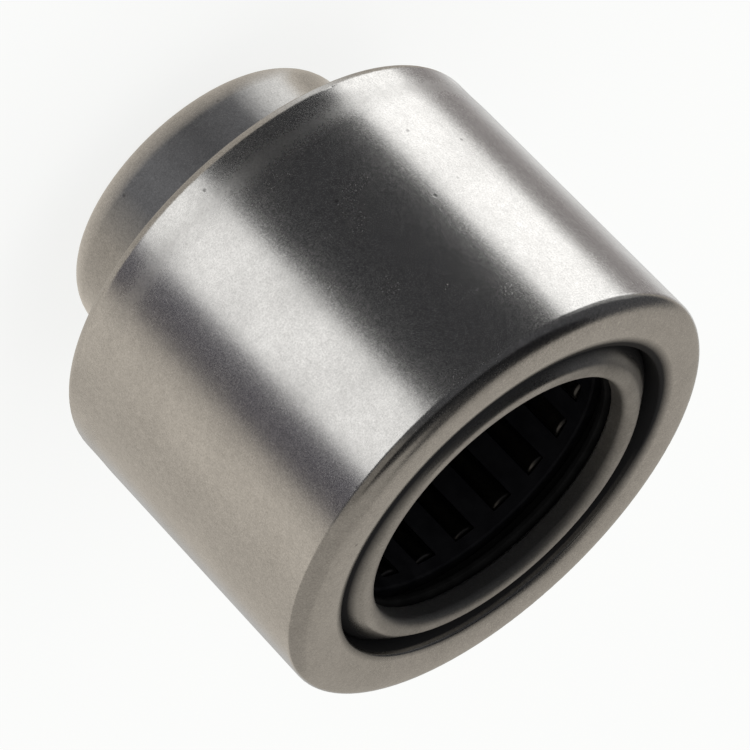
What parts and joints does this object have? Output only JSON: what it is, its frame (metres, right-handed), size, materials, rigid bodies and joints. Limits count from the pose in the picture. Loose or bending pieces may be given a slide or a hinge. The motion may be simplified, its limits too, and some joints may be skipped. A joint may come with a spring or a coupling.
{
  "type": "flywheel bearing",
  "caption": "Closed-end pilot bearing for a flywheel: stepped steel sleeve with a rounded nose, and a lipped cup of caged needle rollers in its open mouth.",
  "frame": {"origin": "centre of the flat end of the closed nose, on the surface the part stands on", "axes": "+Z along the bearing's axis, from the closed nose to the open mouth; X and Y are free, the first needle lies on +X"},
  "size_m": [0.04, 0.04, 0.0377],
  "materials": {
    "housing_steel": "tumbled satin",
    "cup_steel": "drawn satin",
    "seal_rubber": "matte black",
    "cage_plastic": "oiled black",
    "needle_steel": "ground and greased"
  },
  "bodies": {
    "housing": {"housing": "housing_steel", "needle_cup": "cup_steel", "seal_ring": "seal_rubber"},
    "cage": {"cage": "cage_plastic"},
    "needle_01": {"needle_01": "needle_steel"},
    "needle_02": {"needle_02": "needle_steel"},
    "needle_03": {"needle_03": "needle_steel"},
    "needle_04": {"needle_04": "needle_steel"},
    "needle_05": {"needle_05": "needle_steel"},
    "needle_06": {"needle_06": "needle_steel"},
    "needle_07": {"needle_07": "needle_steel"},
    "needle_08": {"needle_08": "needle_steel"},
    "needle_09": {"needle_09": "needle_steel"},
    "needle_10": {"needle_10": "needle_steel"},
    "needle_11": {"needle_11": "needle_steel"},
    "needle_12": {"needle_12": "needle_steel"},
    "needle_13": {"needle_13": "needle_steel"},
    "needle_14": {"needle_14": "needle_steel"},
    "needle_15": {"needle_15": "needle_steel"},
    "needle_16": {"needle_16": "needle_steel"},
    "needle_17": {"needle_17": "needle_steel"},
    "needle_18": {"needle_18": "needle_steel"},
    "needle_19": {"needle_19": "needle_steel"},
    "needle_20": {"needle_20": "needle_steel"}
  },
  "joints": [
    {"name": "cage_spin", "type": "hinge", "parent": "housing", "child": "cage", "pos_m": [0, 0, 0.026], "axis": [0, 0, 1], "continuous": true},
    {"name": "needle_01_spin", "type": "hinge", "parent": "cage", "child": "needle_01", "pos_m": [0.01325, 0, 0.026], "axis": [0, 0, 1], "continuous": true},
    {"name": "needle_02_spin", "type": "hinge", "parent": "cage", "child": "needle_02", "pos_m": [0.0126, 0.00409, 0.026], "axis": [0, 0, 1], "continuous": true},
    {"name": "needle_03_spin", "type": "hinge", "parent": "cage", "child": "needle_03", "pos_m": [0.01072, 0.00779, 0.026], "axis": [0, 0, 1], "continuous": true},
    {"name": "needle_04_spin", "type": "hinge", "parent": "cage", "child": "needle_04", "pos_m": [0.00779, 0.01072, 0.026], "axis": [0, 0, 1], "continuous": true},
    {"name": "needle_05_spin", "type": "hinge", "parent": "cage", "child": "needle_05", "pos_m": [0.00409, 0.0126, 0.026], "axis": [0, 0, 1], "continuous": true},
    {"name": "needle_06_spin", "type": "hinge", "parent": "cage", "child": "needle_06", "pos_m": [0, 0.01325, 0.026], "axis": [0, 0, 1], "continuous": true},
    {"name": "needle_07_spin", "type": "hinge", "parent": "cage", "child": "needle_07", "pos_m": [-0.00409, 0.0126, 0.026], "axis": [0, 0, 1], "continuous": true},
    {"name": "needle_08_spin", "type": "hinge", "parent": "cage", "child": "needle_08", "pos_m": [-0.00779, 0.01072, 0.026], "axis": [0, 0, 1], "continuous": true},
    {"name": "needle_09_spin", "type": "hinge", "parent": "cage", "child": "needle_09", "pos_m": [-0.01072, 0.00779, 0.026], "axis": [0, 0, 1], "continuous": true},
    {"name": "needle_10_spin", "type": "hinge", "parent": "cage", "child": "needle_10", "pos_m": [-0.0126, 0.00409, 0.026], "axis": [0, 0, 1], "continuous": true},
    {"name": "needle_11_spin", "type": "hinge", "parent": "cage", "child": "needle_11", "pos_m": [-0.01325, 0, 0.026], "axis": [0, 0, 1], "continuous": true},
    {"name": "needle_12_spin", "type": "hinge", "parent": "cage", "child": "needle_12", "pos_m": [-0.0126, -0.00409, 0.026], "axis": [0, 0, 1], "continuous": true},
    {"name": "needle_13_spin", "type": "hinge", "parent": "cage", "child": "needle_13", "pos_m": [-0.01072, -0.00779, 0.026], "axis": [0, 0, 1], "continuous": true},
    {"name": "needle_14_spin", "type": "hinge", "parent": "cage", "child": "needle_14", "pos_m": [-0.00779, -0.01072, 0.026], "axis": [0, 0, 1], "continuous": true},
    {"name": "needle_15_spin", "type": "hinge", "parent": "cage", "child": "needle_15", "pos_m": [-0.00409, -0.0126, 0.026], "axis": [0, 0, 1], "continuous": true},
    {"name": "needle_16_spin", "type": "hinge", "parent": "cage", "child": "needle_16", "pos_m": [0, -0.01325, 0.026], "axis": [0, 0, 1], "continuous": true},
    {"name": "needle_17_spin", "type": "hinge", "parent": "cage", "child": "needle_17", "pos_m": [0.00409, -0.0126, 0.026], "axis": [0, 0, 1], "continuous": true},
    {"name": "needle_18_spin", "type": "hinge", "parent": "cage", "child": "needle_18", "pos_m": [0.00779, -0.01072, 0.026], "axis": [0, 0, 1], "continuous": true},
    {"name": "needle_19_spin", "type": "hinge", "parent": "cage", "child": "needle_19", "pos_m": [0.01072, -0.00779, 0.026], "axis": [0, 0, 1], "continuous": true},
    {"name": "needle_20_spin", "type": "hinge", "parent": "cage", "child": "needle_20", "pos_m": [0.0126, -0.00409, 0.026], "axis": [0, 0, 1], "continuous": true}
  ],
  "couplings": [
    {"joint": "needle_01_spin", "follows": "cage_spin", "ratio": -11.64},
    {"joint": "needle_02_spin", "follows": "cage_spin", "ratio": -11.64},
    {"joint": "needle_03_spin", "follows": "cage_spin", "ratio": -11.64},
    {"joint": "needle_04_spin", "follows": "cage_spin", "ratio": -11.64},
    {"joint": "needle_05_spin", "follows": "cage_spin", "ratio": -11.64},
    {"joint": "needle_06_spin", "follows": "cage_spin", "ratio": -11.64},
    {"joint": "needle_07_spin", "follows": "cage_spin", "ratio": -11.64},
    {"joint": "needle_08_spin", "follows": "cage_spin", "ratio": -11.64},
    {"joint": "needle_09_spin", "follows": "cage_spin", "ratio": -11.64},
    {"joint": "needle_10_spin", "follows": "cage_spin", "ratio": -11.64},
    {"joint": "needle_11_spin", "follows": "cage_spin", "ratio": -11.64},
    {"joint": "needle_12_spin", "follows": "cage_spin", "ratio": -11.64},
    {"joint": "needle_13_spin", "follows": "cage_spin", "ratio": -11.64},
    {"joint": "needle_14_spin", "follows": "cage_spin", "ratio": -11.64},
    {"joint": "needle_15_spin", "follows": "cage_spin", "ratio": -11.64},
    {"joint": "needle_16_spin", "follows": "cage_spin", "ratio": -11.64},
    {"joint": "needle_17_spin", "follows": "cage_spin", "ratio": -11.64},
    {"joint": "needle_18_spin", "follows": "cage_spin", "ratio": -11.64},
    {"joint": "needle_19_spin", "follows": "cage_spin", "ratio": -11.64},
    {"joint": "needle_20_spin", "follows": "cage_spin", "ratio": -11.64}
  ]
}
